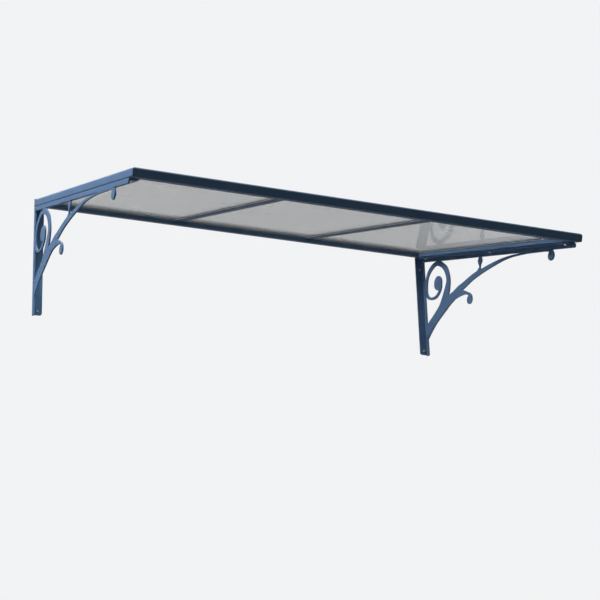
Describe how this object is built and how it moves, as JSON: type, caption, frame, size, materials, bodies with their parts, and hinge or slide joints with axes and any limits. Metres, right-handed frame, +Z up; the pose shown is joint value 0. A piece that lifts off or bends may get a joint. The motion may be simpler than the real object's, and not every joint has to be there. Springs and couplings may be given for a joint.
{
  "type": "door canopy",
  "caption": "Sloping door canopy: a glazed frame of coated rails with glazing bars, carried on scrolled wall brackets.",
  "frame": {"origin": "on the wall, at the middle of the back face of the seal behind the wall rail, half way along the canopy's width", "axes": "+X along the wall to the right as seen from the street, +Y into the wall, +Z up; the roof falls towards -Y"},
  "size_m": [1.4, 0.9415, 0.3826],
  "materials": {
    "coated_frame": "satin blue-grey powder coat",
    "pane": "clear, smooth",
    "gasket": "matt grey rubber channel",
    "wall_seal": "matt grey rubber",
    "screw": "zinc plated",
    "corner_screw": "dark plated",
    "cleat": "as extruded"
  },
  "bodies": {
    "root": {"left_bracket": "coated_frame", "right_bracket": "coated_frame", "left_rail": "coated_frame", "right_rail": "coated_frame", "front_rail": "coated_frame", "wall_rail": "coated_frame", "glazing_bar_1": "coated_frame", "glazing_bar_2": "coated_frame", "pane_left": "pane", "pane_gasket_left": "gasket", "pane_middle": "pane", "pane_gasket_middle": "gasket", "pane_right": "pane", "pane_gasket_right": "gasket", "rail_screw_left_1": "screw", "rail_screw_left_2": "screw", "rail_screw_left_3": "screw", "wall_screw_left_upper": "screw", "wall_screw_left_lower": "screw", "corner_screw_front_left": "corner_screw", "corner_cleat_front_left": "cleat", "corner_screw_wall_left": "corner_screw", "corner_cleat_wall_left": "cleat", "rail_screw_right_1": "screw", "rail_screw_right_2": "screw", "rail_screw_right_3": "screw", "wall_screw_right_upper": "screw", "wall_screw_right_lower": "screw", "corner_screw_front_right": "corner_screw", "corner_cleat_front_right": "cleat", "corner_screw_wall_right": "corner_screw", "corner_cleat_wall_right": "cleat", "wall_seal": "wall_seal"}
  },
  "joints": []
}
